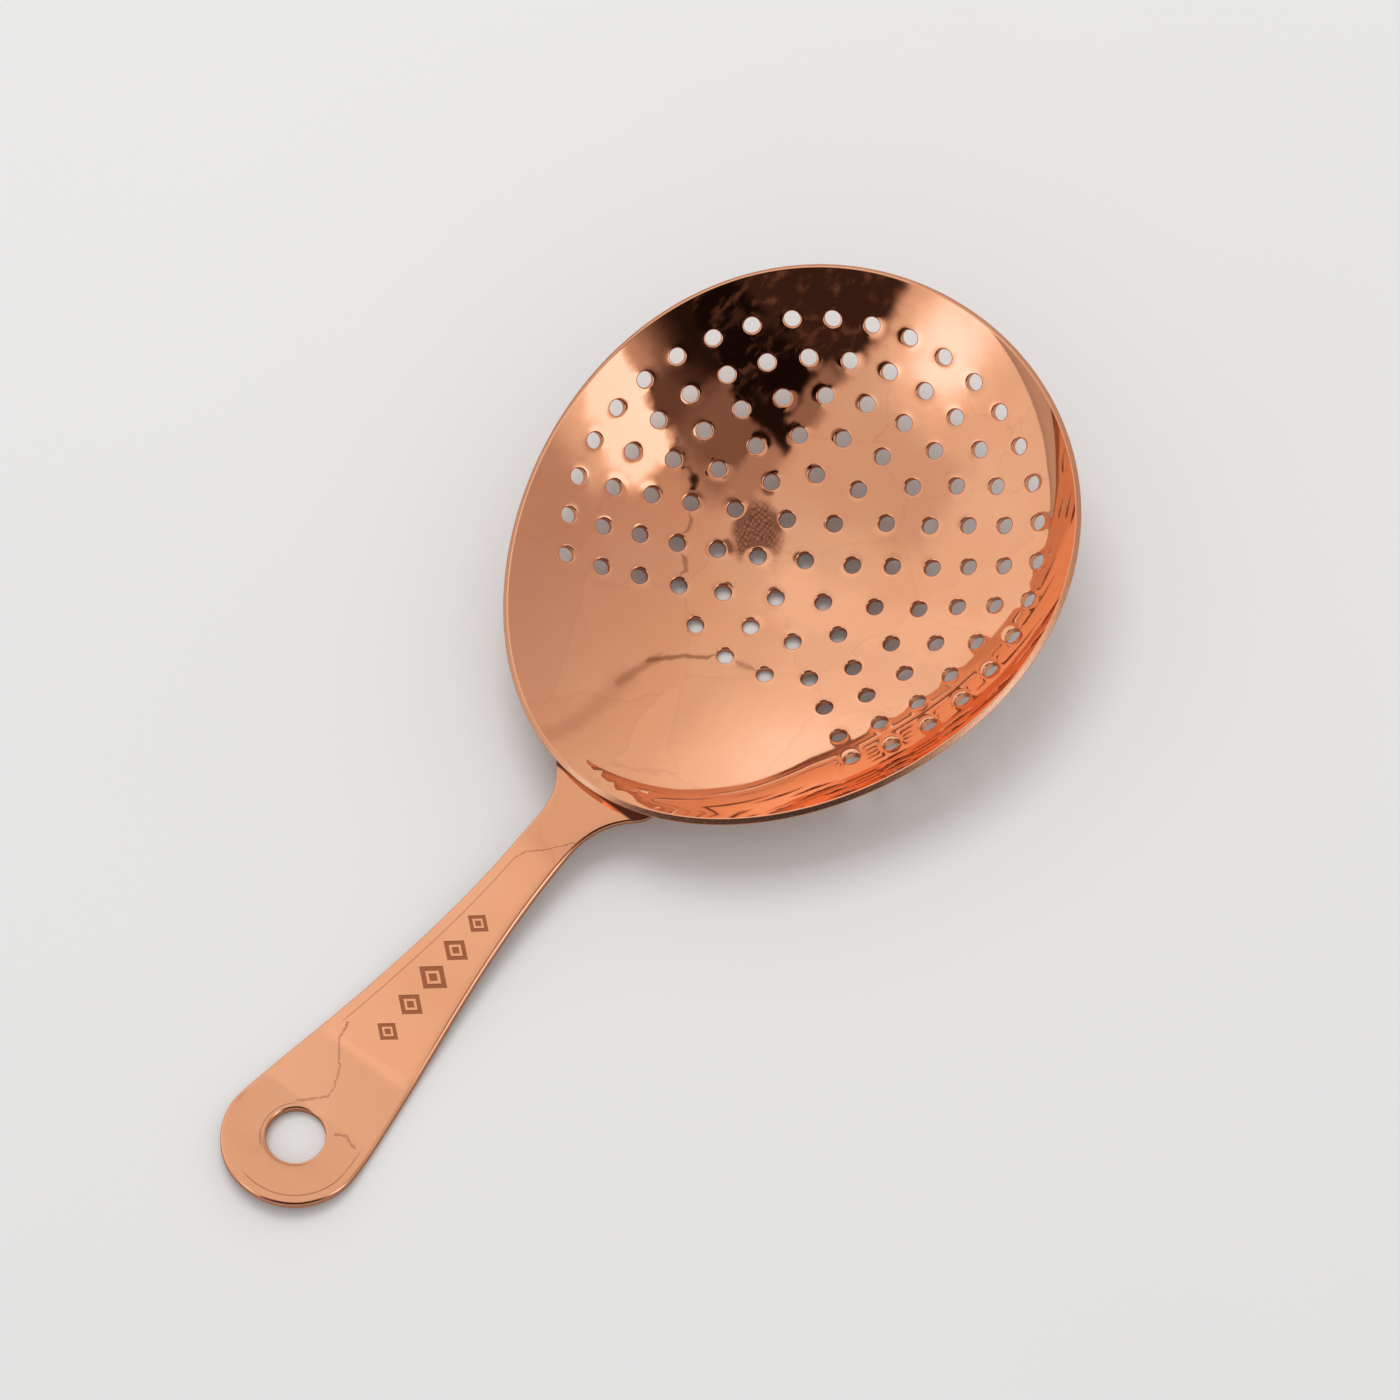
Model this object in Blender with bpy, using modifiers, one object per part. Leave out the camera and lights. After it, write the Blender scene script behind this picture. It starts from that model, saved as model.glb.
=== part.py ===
"""Julep strainer: a perforated oval bowl with a strap handle spot-welded under its rim.

Metres, +Z up.  The strainer lies as it does on a counter: the belly of the bowl and
the flat of the handle's end both touch Z = 0, the handle points to -X and the far
tip of the bowl to +X.  The XZ plane is the plane of symmetry.

Dimensions are in millimetres, in one of two frames that share their Y axis:
  rim frame      the bowl untilted, its rim ends at Z = 0 and its deepest point on the Z axis
  counter frame  the rim frame tilted by REST_TILT and lifted until the bowl rests on Z = 0
"""
import math

import bmesh
import bpy
from mathutils import Matrix, Vector

MM = 0.001

# ---- bowl, rim frame ----
BOWL_HALF_LENGTH = 45.33       # middle of the sheet, along the handle's axis
BOWL_HALF_WIDTH = 39.15
BOWL_NOSE_SHIFT = 1.68         # moves the widest place towards the far tip
BOWL_EGG = 0.030               # far half slightly fuller than the handle half
BOWL_DEPTH = 16.8
BOWL_CONE_SHARE = 0.766        # share of the depth that follows a paraboloid
RIM_SIDE_DIP = 2.74            # the long sides of the rim lie lower than its ends
SHEET = 1.10                   # thickness of the bowl's sheet
RIM_BREAK = 0.22               # broken edge on the rim
REST_TILT = math.radians(8.5)  # rim plane against the counter, far tip up
STEPS_AROUND = 56
STEPS_OUT = 11

# ---- hole pattern, seen in plan in the rim frame ----
HOLE_DIAMETER = 2.50
HOLE_SIDES = 10
PATTERN_SHIFT = 4.27           # centre hole, forward of the bowl's deepest point
HOLES_PER_RING = 6             # each ring has this many holes more than the last
RINGS = (                      # radius, holes left out beside the handle
    (7.1, 0), (13.2, 0), (19.1, 0), (24.6, 5), (29.9, 7), (34.8, 9),
)

# ---- handle: strap and rounded end, counter frame ----
STRAP = 1.50                   # thickness
STRAP_BREAK = 0.30             # broken edge
PAD_NEAR = -95.0               # the flat that rests on the counter runs from here
PAD_FAR = -104.0               # to here
NECK_SLOPE = 0.115             # rise from the pad towards the bowl
NECK_EASE = 6.0                # length over which that rise sets in
TIP_SLOPE = 0.12               # rise from the pad towards the handle's end
TIP_EASE = 2.0
NECK_X = -53.0                 # narrowest place
NECK_HALF = 3.60               # half width there
NECK_TANGENT_RUN = 6.0         # span past the neck that sets the tang's straight line
EYE_X = -108.8                 # hanging hole, at the widest place of the handle
EYE_DIAMETER = 8.4
EYE_SIDES = 32
EYE_SLOPE_REACH = 0.5          # the strap's slope is taken this far to either side
END_HALF = 10.25               # rounded end: half a superellipse beyond the eye
END_LENGTH = 10.2
END_POWER = 2.2

# ---- handle: flare and tang, x in the rim frame ----
FLARE_X = -43.2                # widest place
FLARE_HALF = 8.53
FLARE_POWER = 2.8
TANG_LENGTH = 11.5             # rounded tip beyond the flare
TANG_FILLET = 1.6              # softens the bend from the straight line to the bowl
FAYING_GAP = 0.60              # room for the weld nuggets between tang and bowl
TANG_DEPTH = SHEET / 2 + FAYING_GAP + STRAP / 2   # middle of sheet to middle of tang

# ---- handle grid ----
HANDLE_COLUMNS = 8
NECK_STEPS = 12
FLARE_STEPS = 8
END_DEGREES = (84, 74, 62, 49, 36, 24, 12)        # rows of the end, outermost first
TANG_DEGREES = (12, 25, 38, 51, 63, 74, 83)       # rows of the tang, outermost last

# ---- weld nuggets, rim frame ----
NUGGET_DIAMETER = 3.6
NUGGET_THICKNESS = 0.30
NUGGET_SIDES = 24
NUGGET_X = -39.4
NUGGET_OFFSET = 4.4            # to either side of the plane of symmetry
NUGGET_SIDE_SIGNS = (("weld_nugget_left", 1), ("weld_nugget_right", -1))

COPPER = (0.86, 0.45, 0.28, 1.0)
WELD_GREY = (0.42, 0.36, 0.33, 1.0)


# ------------------------------------------------------------------ bowl surface
def rim_point(angle):
    x = BOWL_HALF_LENGTH * math.cos(angle) - BOWL_NOSE_SHIFT * (math.cos(2 * angle) - 1)
    y = BOWL_HALF_WIDTH * math.sin(angle) * (1 + BOWL_EGG * math.cos(angle))
    return x, y


def dish_height(share, angle):
    """Height of the middle of the sheet, a share of the way out to rim_point(angle)."""
    rise = BOWL_CONE_SHARE * share ** 2 + (1 - BOWL_CONE_SHARE) * share ** 6
    return -BOWL_DEPTH * (1 - rise) - RIM_SIDE_DIP * math.sin(angle) ** 2 * rise


def bowl_point(share, angle):
    x, y = rim_point(angle)
    return Vector((share * x, share * y, dish_height(share, angle)))


def bowl_height(x, y):
    """Height of the middle of the sheet over a place in plan."""
    if abs(x) < 1e-9 and abs(y) < 1e-9:
        return -BOWL_DEPTH
    # find the rim parameter whose rim point lies in the same direction in plan
    direction = math.atan2(y, x)
    angle = direction
    for _ in range(12):
        rim_x, rim_y = rim_point(angle)
        miss = math.atan2(rim_y, rim_x) - direction
        angle -= (miss + math.pi) % (2 * math.pi) - math.pi
    return dish_height(math.hypot(x, y) / math.hypot(*rim_point(angle)), angle)


def bowl_normal(x, y, reach=0.05):
    """Upward normal of the sheet, from heights a short reach to either side."""
    slope_x = (bowl_height(x + reach, y) - bowl_height(x - reach, y)) / (2 * reach)
    slope_y = (bowl_height(x, y + reach) - bowl_height(x, y - reach)) / (2 * reach)
    return Vector((-slope_x, -slope_y, 1.0)).normalized()


def under_bowl(x, y, distance):
    """Height of a surface that runs a given distance under the sheet's middle."""
    return bowl_height(x, y) - distance / bowl_normal(x, y).z


# ------------------------------------------------------------------ frames
def counter_to_rim(x, z, lift):
    z -= lift
    cos, sin = math.cos(REST_TILT), math.sin(REST_TILT)
    return cos * x + sin * z, -sin * x + cos * z


def rim_to_counter(x, z, lift):
    cos, sin = math.cos(REST_TILT), math.sin(REST_TILT)
    return cos * x - sin * z, sin * x + cos * z + lift


# ------------------------------------------------------------------ scene helpers
def clear_scene():
    for obj in list(bpy.data.objects):
        bpy.data.objects.remove(obj, do_unlink=True)


def make_collection(name):
    collection = bpy.data.collections.new(name)
    bpy.context.scene.collection.children.link(collection)
    return collection


def make_metal(name, colour, roughness):
    material = bpy.data.materials.new(name)
    material.use_nodes = True
    inputs = material.node_tree.nodes["Principled BSDF"].inputs
    inputs["Base Color"].default_value = colour
    inputs["Roughness"].default_value = roughness
    inputs["Metallic"].default_value = 1.0
    return material


def add_object(name, bm, collection, material=None):
    mesh = bpy.data.meshes.new(name)
    bm.to_mesh(mesh)
    bm.free()
    obj = bpy.data.objects.new(name, mesh)
    collection.objects.link(obj)
    if material is not None:
        mesh.materials.append(material)
    mesh.shade_smooth()
    mesh.set_sharp_from_angle(angle=math.radians(35))
    return obj


def add_cylinder(name, collection, diameter, depth, sides):
    bpy.ops.mesh.primitive_cylinder_add(
        vertices=sides, radius=diameter / 2 * MM, depth=depth * MM)
    cylinder = bpy.context.object
    cylinder.name = name
    for owner in list(cylinder.users_collection):
        owner.objects.unlink(cylinder)
    collection.objects.link(cylinder)
    return cylinder


def thicken(obj, thickness, edge_break):
    """Give a surface its thickness, evenly to both sides, and break its edges."""
    sheet = obj.modifiers.new("sheet", "SOLIDIFY")
    sheet.thickness = thickness * MM
    sheet.offset = 0.0
    sheet.use_even_offset = True

    bevel = obj.modifiers.new("edge_break", "BEVEL")
    bevel.width = edge_break * MM
    bevel.segments = 1
    bevel.limit_method = "ANGLE"
    bevel.angle_limit = math.radians(55)


def cut_with(obj, cutter):
    cutter.hide_render = True
    cutter.display_type = "WIRE"
    cut = obj.modifiers.new("holes", "BOOLEAN")
    cut.operation = "DIFFERENCE"
    cut.solver = "EXACT"
    cut.object = cutter


def evaluated_points(obj):
    """World places of the vertices, with all modifiers applied."""
    bpy.context.view_layer.update()
    shown = obj.evaluated_get(bpy.context.evaluated_depsgraph_get())
    mesh = shown.to_mesh()
    points = [shown.matrix_world @ vert.co for vert in mesh.vertices]
    shown.to_mesh_clear()
    return points


# ------------------------------------------------------------------ the bowl
def hole_places():
    """Centre hole, then the rings, less the holes beside the handle."""
    places = [(PATTERN_SHIFT, 0.0)]
    for ring, (radius, left_out) in enumerate(RINGS, start=1):
        count = HOLES_PER_RING * ring
        # holes are numbered both ways from the far tip: 0, 1, 2 ... -2, -1
        last_kept = (count - left_out) // 2
        for i in range(count):
            number = i if i <= count / 2 else i - count
            if abs(number) > last_kept:
                continue
            theta = 2 * math.pi * number / count
            places.append((PATTERN_SHIFT + radius * math.cos(theta), radius * math.sin(theta)))
    return places


def build_bowl_sheet(parts, material):
    """A radial row of edges spun about Z to a unit disc, then pressed to the oval dish."""
    bm = bmesh.new()
    row = [bm.verts.new((i / STEPS_OUT, 0, 0)) for i in range(STEPS_OUT + 1)]
    edges = [bm.edges.new(pair) for pair in zip(row, row[1:])]
    bmesh.ops.spin(
        bm, geom=row + edges, cent=(0, 0, 0), axis=(0, 0, 1), angle=2 * math.pi,
        steps=STEPS_AROUND, use_merge=True, use_duplicate=False)
    bmesh.ops.remove_doubles(bm, verts=bm.verts, dist=1e-5)
    for vert in bm.verts:
        x, y, _ = vert.co
        vert.co = bowl_point(math.hypot(x, y), math.atan2(y, x)) * MM
    bmesh.ops.recalc_face_normals(bm, faces=bm.faces)
    bowl = add_object("perforated_bowl", bm, parts, material)
    thicken(bowl, SHEET, RIM_BREAK)
    return bowl


def build_hole_punches(cutters):
    """One mesh of short rods, each square to the sheet."""
    bm = bmesh.new()
    radius = HOLE_DIAMETER / 2 * MM
    for x, y in hole_places():
        turn = bowl_normal(x, y).to_track_quat("Z", "Y").to_matrix().to_4x4()
        place = Matrix.Translation(Vector((x, y, bowl_height(x, y))) * MM) @ turn
        bmesh.ops.create_cone(
            bm, cap_ends=True, segments=HOLE_SIDES, radius1=radius, radius2=radius,
            depth=4 * SHEET * MM, matrix=place)
    return add_object("hole_punches", bm, cutters)


def build_bowl(parts, cutters, material):
    """Return the bowl at rest on the counter, and how far it was lifted to get there."""
    bowl = build_bowl_sheet(parts, material)
    punches = build_hole_punches(cutters)
    cut_with(bowl, punches)
    bowl.rotation_euler = (0, -REST_TILT, 0)
    punches.parent = bowl
    lowest = min(point.z for point in evaluated_points(bowl))
    bowl.location.z = -lowest
    return bowl, -lowest / MM


# ------------------------------------------------------------------ the handle
def strap_height(x):
    """Middle of the strap above the counter."""
    z = STRAP / 2
    if x > PAD_NEAR:
        z += NECK_SLOPE * (math.hypot(x - PAD_NEAR, NECK_EASE) - NECK_EASE)
    elif x < PAD_FAR:
        z += TIP_SLOPE * (math.hypot(PAD_FAR - x, TIP_EASE) - TIP_EASE)
    return z


def strap_half_width(x):
    """Widens from the neck to the eye."""
    share = (NECK_X - x) / (NECK_X - EYE_X)
    return NECK_HALF + (END_HALF - NECK_HALF) * (share ** 2 + (1 - share) * share ** 2.5)


def soft_min(a, b, blend):
    """The smaller of two values, rounded off where they differ by less than blend."""
    mix = min(1.0, max(0.0, 0.5 + 0.5 * (b - a) / blend))
    return b * (1 - mix) + a * mix - blend * mix * (1 - mix)


def handle_rows(lift):
    """Rows of points across the handle, from its rounded end to the tip of the tang."""
    across = [math.sin(math.pi * (i / HANDLE_COLUMNS - 0.5)) for i in range(HANDLE_COLUMNS + 1)]
    neck_x, neck_z = counter_to_rim(NECK_X, strap_height(NECK_X), lift)
    past_x = NECK_X + NECK_TANGENT_RUN
    past_x, past_z = counter_to_rim(past_x, strap_height(past_x), lift)
    line_slope = (past_z - neck_z) / (past_x - neck_x)
    rows = []

    def add_strap_row(x, half):
        rows.append([Vector((x, half * side, strap_height(x))) for side in across])

    def tang_point(x, y):
        """x is in the rim frame: the sheet runs on straight, then hugs the bowl."""
        straight = neck_z + line_slope * (x - neck_x)
        z = soft_min(straight, under_bowl(x, y, TANG_DEPTH), TANG_FILLET)
        counter_x, counter_z = rim_to_counter(x, z, lift)
        return Vector((counter_x, y, counter_z))

    def add_tang_row(x, half):
        rows.append([tang_point(x, half * side) for side in across])

    for degrees in END_DEGREES:
        turn = math.radians(degrees)
        add_strap_row(EYE_X - END_LENGTH * math.sin(turn) ** (2 / END_POWER),
                      END_HALF * math.cos(turn) ** (2 / END_POWER))

    strap_places = [EYE_X, PAD_FAR, 0.5 * (PAD_FAR + PAD_NEAR), PAD_NEAR]
    strap_places += [
        PAD_NEAR + (NECK_X - PAD_NEAR) * (i + 1) / NECK_STEPS for i in range(NECK_STEPS)]
    for x in strap_places:
        add_strap_row(x, strap_half_width(x))

    for i in range(FLARE_STEPS):
        share = (i + 1) / FLARE_STEPS
        add_tang_row(neck_x + (FLARE_X - neck_x) * share,
                     NECK_HALF + (FLARE_HALF - NECK_HALF) * share ** FLARE_POWER)

    for degrees in TANG_DEGREES:
        turn = math.radians(degrees)
        add_tang_row(FLARE_X + TANG_LENGTH * math.sin(turn), FLARE_HALF * math.cos(turn))
    return rows


def build_eye_punch(cutters):
    """A rod square to the strap where the hanging hole goes."""
    rise = strap_height(EYE_X + EYE_SLOPE_REACH) - strap_height(EYE_X - EYE_SLOPE_REACH)
    punch = add_cylinder("eye_punch", cutters, EYE_DIAMETER, 8 * STRAP, EYE_SIDES)
    punch.location = (EYE_X * MM, 0, strap_height(EYE_X) * MM)
    punch.rotation_euler = (0, -math.atan(rise / (2 * EYE_SLOPE_REACH)), 0)
    return punch


def build_handle(parts, cutters, material, lift):
    """One sheet: end, strap, flare and tang, thickened and pierced by the eye."""
    bm = bmesh.new()
    grid = [[bm.verts.new(point * MM) for point in row] for row in handle_rows(lift)]
    for row, following in zip(grid, grid[1:]):
        for i in range(HANDLE_COLUMNS):
            bm.faces.new((row[i], following[i], following[i + 1], row[i + 1]))
    bmesh.ops.remove_doubles(bm, verts=bm.verts, dist=1e-6)
    bmesh.ops.dissolve_degenerate(bm, edges=bm.edges, dist=1e-7)
    bmesh.ops.recalc_face_normals(bm, faces=bm.faces)
    handle = add_object("handle_strap", bm, parts, material)
    thicken(handle, STRAP, STRAP_BREAK)

    punch = build_eye_punch(cutters)
    cut_with(handle, punch)
    return handle, punch


# ------------------------------------------------------------------ the welds
def build_nugget(name, y, parts, material, lift):
    """A thin button in the gap between the tang and the outside of the bowl."""
    nugget = add_cylinder(name, parts, NUGGET_DIAMETER, NUGGET_THICKNESS, NUGGET_SIDES)
    nugget.data.name = name
    nugget.data.materials.append(material)

    normal = bowl_normal(NUGGET_X, y)
    on_bowl = Vector((NUGGET_X, y, bowl_height(NUGGET_X, y)))
    middle = on_bowl - normal * (SHEET / 2 + FAYING_GAP / 2)
    tilt = Matrix.Rotation(-REST_TILT, 3, "Y")
    nugget.location = (tilt @ middle + Vector((0, 0, lift))) * MM
    nugget.rotation_mode = "QUATERNION"
    nugget.rotation_quaternion = (tilt @ normal).to_track_quat("Z", "Y")
    return nugget


# ------------------------------------------------------------------ assembly
def centre_on_origin(bowl, handle, others, parts):
    """Hang everything on a frame that puts the middle of the overall length at X = 0."""
    lengthwise = [point.x for obj in (bowl, handle) for point in evaluated_points(obj)]
    frame = bpy.data.objects.new("strainer_frame", None)
    parts.objects.link(frame)
    for obj in [bowl, handle] + others:
        obj.parent = frame
    frame.location.x = -(min(lengthwise) + max(lengthwise)) / 2
    bpy.context.view_layer.update()


def main():
    clear_scene()
    parts = make_collection("julep_strainer")
    cutters = make_collection("cutters")
    bowl_copper = make_metal("bowl_copper_plate", COPPER, roughness=0.10)
    handle_copper = make_metal("handle_copper_plate", COPPER, roughness=0.14)
    weld_metal = make_metal("weld_metal", WELD_GREY, roughness=0.45)

    bowl, lift = build_bowl(parts, cutters, bowl_copper)
    handle, eye_punch = build_handle(parts, cutters, handle_copper, lift)
    nuggets = [
        build_nugget(name, sign * NUGGET_OFFSET, parts, weld_metal, lift)
        for name, sign in NUGGET_SIDE_SIGNS]
    centre_on_origin(bowl, handle, [eye_punch] + nuggets, parts)


main()
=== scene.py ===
"""A perforated copper bowl with a flat strap handle, lying on a pale floor.

Shapes are drawn in millimetres in the rim frame: origin at the middle of the bowl's rim, +X to
the bowl's far tip, +Y to its left, the handle towards -X.  to_world() tips that frame about Y,
so that the far tip rises, and stands it on the floor.  Meshes and shaders are in metres.
"""

import math
from collections import namedtuple
from types import SimpleNamespace

import bpy
import numpy as np
from mathutils import Matrix, Vector
from mathutils.geometry import delaunay_2d_cdt


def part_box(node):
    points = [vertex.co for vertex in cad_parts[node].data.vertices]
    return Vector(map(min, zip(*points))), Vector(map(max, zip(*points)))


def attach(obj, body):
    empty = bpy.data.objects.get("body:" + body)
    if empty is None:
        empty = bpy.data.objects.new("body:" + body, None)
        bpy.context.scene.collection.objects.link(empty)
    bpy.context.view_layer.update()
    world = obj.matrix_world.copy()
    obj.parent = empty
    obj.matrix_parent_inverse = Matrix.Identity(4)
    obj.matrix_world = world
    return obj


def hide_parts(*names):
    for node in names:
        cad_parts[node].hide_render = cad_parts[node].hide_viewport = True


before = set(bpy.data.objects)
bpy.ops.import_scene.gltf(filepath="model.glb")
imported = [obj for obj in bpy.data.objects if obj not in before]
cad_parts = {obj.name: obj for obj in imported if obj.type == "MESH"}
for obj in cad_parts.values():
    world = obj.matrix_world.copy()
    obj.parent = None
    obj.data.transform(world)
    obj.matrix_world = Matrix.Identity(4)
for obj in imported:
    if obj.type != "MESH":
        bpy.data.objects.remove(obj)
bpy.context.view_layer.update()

MM = 0.001
TILT = math.radians(8.5)
COS_TILT, SIN_TILT = math.cos(TILT), math.sin(TILT)

# Bowl
HALF_LENGTH, HALF_WIDTH = 45.33, 39.15
NOSE = 1.676                    # draws the sides of the rim towards +X
EGG, EGG_2 = 0.030, -0.008      # first and second waves in the rim's width
DEPTH, CONE = 16.8, 0.766       # CONE is the share of the depth in the plain square curve
SIDE_DIP = 2.736                # how far the rim falls at its two sides
SHEET = 1.10
BOWL_INSET = 0.9957             # rim outline to the start of the rounded edge, as a scale
BOWL_GAP = 0.30                 # CAD bowl's +X end to the rim's far tip

# Rings of holes: ring k has 6k places; those at its -X side are left unpunched
RING_CENTRE = 4.27
RINGS = ((7.13, 0), (13.17, 0), (19.15, 0), (24.63, 5), (29.93, 7), (34.83, 9))  # radius, left out
ODD_RING_SHIFT = (-0.12, -0.10)

# Handle, side view: lengths along the floor from the rim frame's origin
STRAP = 1.50
PAD_NEAR, PAD_FAR = -95.0, -104.0           # the pad lies flat between these
NECK_SLOPE, NECK_EASE = 0.115, 6.0
TIP_SLOPE, TIP_EASE = 0.12, 2.0
RISE_FROM, RISE_SLOPE, RISE_EASE = -56.0, 0.095, 2.5
TANG_GAP = 0.22                             # between the tang and the bowl's underside
UNDER_FROM, UNDER_SLOPE = -47.5, 1.05       # straight run-out of the underside towards -X

# Handle, plan
NECK_X, NECK_HALF = -54.35, 3.68
STRAP_WIDENING, STRAP_LENGTH = 6.68, 55.64
END_X, END_LENGTH, END_HALF, END_POWER = -109.6, 10.5, 10.42, 2.1
FLARE_WIDENING, FLARE_LENGTH, FLARE_POWER = 4.95, 11.15, 2.8
TANG_X, TANG_LENGTH, TANG_HALF = -43.4, 11.8, 8.75
HANDLE_ROUND = 0.36
EYE_X, EYE_R = -110.0, 4.2

# A round hole: its radius, the collar where it meets the sheet, points round it, how deep the
# sheet sinks widely and at the lip, and the rounding of the bore's upper and lower ends
HoleShape = namedtuple("HoleShape", "radius collar segments sink lip_sink top_round low_round")
PUNCHED = HoleShape(1.21, 2.75, 32, 0.034, 0.075, 0.25, 0.10)
EYE = HoleShape(EYE_R, 6.6, 72, 0.0, 0.02, 0.30, 0.16)


# ---------------------------------------------------------------- surfaces
def unit(vectors):
    return vectors / np.maximum(np.linalg.norm(vectors, axis=-1, keepdims=True), 1e-12)


def smooth(value, low, high):
    share = np.clip((value - low) / (high - low), 0, 1)
    return share * share * (3 - 2 * share)


def soft_min(first, second, blend):
    share = np.clip(0.5 + 0.5 * (second - first) / blend, 0, 1)
    return second * (1 - share) + first * share - blend * share * (1 - share)


def normal_of(surface, x, y, step=0.04):
    slope_x = (surface(x + step, y) - surface(x - step, y)) / (2 * step)
    slope_y = (surface(x, y + step) - surface(x, y - step)) / (2 * step)
    return unit(np.stack([-slope_x, -slope_y, np.ones_like(slope_x)], -1))


def raised(surface, x, y, height):
    """Points at a height over a surface, measured along its normal."""
    foot = np.stack([x, y, surface(x, y)], -1)
    return foot + normal_of(surface, x, y) * np.asarray(height)[..., None]


def surface_axes(surface, x, y):
    """The normal and two tangents at one place."""
    normal = normal_of(surface, np.array(x), np.array(y))
    first = unit(np.cross([0.0, 1.0, 0.0], normal))
    return normal, first, np.cross(normal, first)


def turns(count):
    return np.arange(count) * 2 * math.pi / count


def rim_outline(turn, scale=1.0):
    x = scale * (HALF_LENGTH * np.cos(turn) - NOSE * (np.cos(2 * turn) - 1))
    wave = 1 + EGG * np.cos(turn) + EGG_2 * np.cos(2 * turn)
    return x, scale * HALF_WIDTH * np.sin(turn) * wave


RIM_TURN = np.linspace(-math.pi, math.pi, 7201)
_rim_x, _rim_y = rim_outline(RIM_TURN)
RIM_ANGLE = np.unwrap(np.arctan2(_rim_y, _rim_x))
RIM_RADIUS = np.hypot(_rim_x, _rim_y)


def rim_polar(x, y):
    """Angle in plan, and distance out as a share of the rim's radius."""
    angle = np.arctan2(y, x)
    return angle, np.hypot(x, y) / np.interp(angle, RIM_ANGLE, RIM_RADIUS)


def bowl_mid(x, y):
    """Height of the middle of the bowl's sheet."""
    angle, reach = rim_polar(x, y)
    turn = np.interp(angle, RIM_ANGLE, RIM_TURN)
    climb = CONE * reach ** 2 + (1 - CONE) * reach ** 6
    return -DEPTH * (1 - climb) - SIDE_DIP * np.sin(turn) ** 2 * climb


# Small changes of the wall's slope, too slight to move the sheet but plain in its reflections.
# They are carried by the normals.  Columns, in degrees: angle in plan, wall, lip.
LEAN_ANGLE, LEAN_WALL, LEAN_LIP = np.array((
    (-180, -2.6, -9.0), (-165, -2.0, -7.0), (-150, -0.2, -2.0), (-135, 3.0, 0.0),
    (-116, 4.2, 0.0), (-95, 4.8, 0.0), (-75, 5.5, 0.0), (-55, 5.8, 0.0),
    (-35, 6.0, 0.0), (-15, 3.6, 0.0), (10, 0.8, 0.0), (40, 0.0, 0.0),
    (80, 0.0, 0.0), (115, -2.5, -1.0), (140, -4.5, -4.0), (160, -4.8, -7.0),
    (180, -2.6, -9.0),
)).T


def lean(x, y, normal):
    angle, reach = rim_polar(x, y)
    degrees = np.degrees(angle)
    more = (np.interp(degrees, LEAN_ANGLE, LEAN_WALL) * smooth(reach, 0.42, 0.76)
            + np.interp(degrees, LEAN_ANGLE, LEAN_LIP) * smooth(reach, 0.945, 0.985))
    flat = np.hypot(normal[..., 0], normal[..., 1])
    slope = np.arctan2(flat, normal[..., 2]) + np.radians(more)
    heading = normal[..., :2] / np.maximum(flat, 1e-9)[..., None]
    return np.concatenate([heading * np.sin(slope)[..., None], np.cos(slope)[..., None]], -1)


def find_origin():
    """The rim frame's origin: outer skin on the floor, far tip just inside the CAD bowl's end."""
    x = np.linspace(-44, 44, 441)
    y = 0 * x
    normal = normal_of(bowl_mid, x, y)
    skin = (SIN_TILT * x + COS_TILT * bowl_mid(x, y)
            - SHEET / 2 * (SIN_TILT * normal[:, 0] + COS_TILT * normal[:, 2]))
    _, bowl_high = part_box("perforated_bowl")
    far_end = float(np.array(bowl_high)[0] / MM)
    return np.array([far_end - COS_TILT * HALF_LENGTH - BOWL_GAP, 0.0, -float(skin.min())])


ORIGIN = find_origin()
LIFT = ORIGIN[2]


def tip(vectors):
    """Turn rim-frame vectors into world directions."""
    x, y, z = np.moveaxis(np.asarray(vectors, float), -1, 0)
    return np.stack([COS_TILT * x - SIN_TILT * z, y, SIN_TILT * x + COS_TILT * z], -1)


def to_world(points):
    """Rim-frame points in mm to world points in metres."""
    return (tip(points) + ORIGIN) * MM


# ---------------------------------------------------------------- meshes
def add_object(name, points, faces, material):
    mesh = bpy.data.meshes.new(name)
    mesh.from_pydata(to_world(points).tolist(), [], faces)
    mesh.shade_smooth()
    mesh.materials.append(material)
    obj = bpy.data.objects.new(name, mesh)
    bpy.context.scene.collection.objects.link(obj)
    return obj


def inside(loop, points):
    x, y = points[:, 0][:, None], points[:, 1][:, None]
    start_x, start_y = loop[:, 0][None], loop[:, 1][None]
    end_x, end_y = np.roll(loop[:, 0], -1)[None], np.roll(loop[:, 1], -1)[None]
    crossing = (end_x - start_x) * (y - start_y) / (end_y - start_y + 1e-30) + start_x
    return (((start_y > y) != (end_y > y)) & (x < crossing)).sum(1) % 2 == 1


def loop_distance(loop, points, batch=4000):
    distance = np.full(len(points), 1e9)
    side = np.roll(loop, -1, 0) - loop
    length_2 = np.maximum((side ** 2).sum(-1), 1e-12)[None]
    for first in range(0, len(points), batch):
        some = points[first:first + batch]
        share = np.clip(((some[:, None] - loop[None]) * side[None]).sum(-1) / length_2, 0, 1)
        gap = some[:, None] - (loop[None] + share[..., None] * side[None])
        distance[first:first + batch] = np.hypot(*np.moveaxis(gap, -1, 0)).min(1)
    return distance


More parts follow.
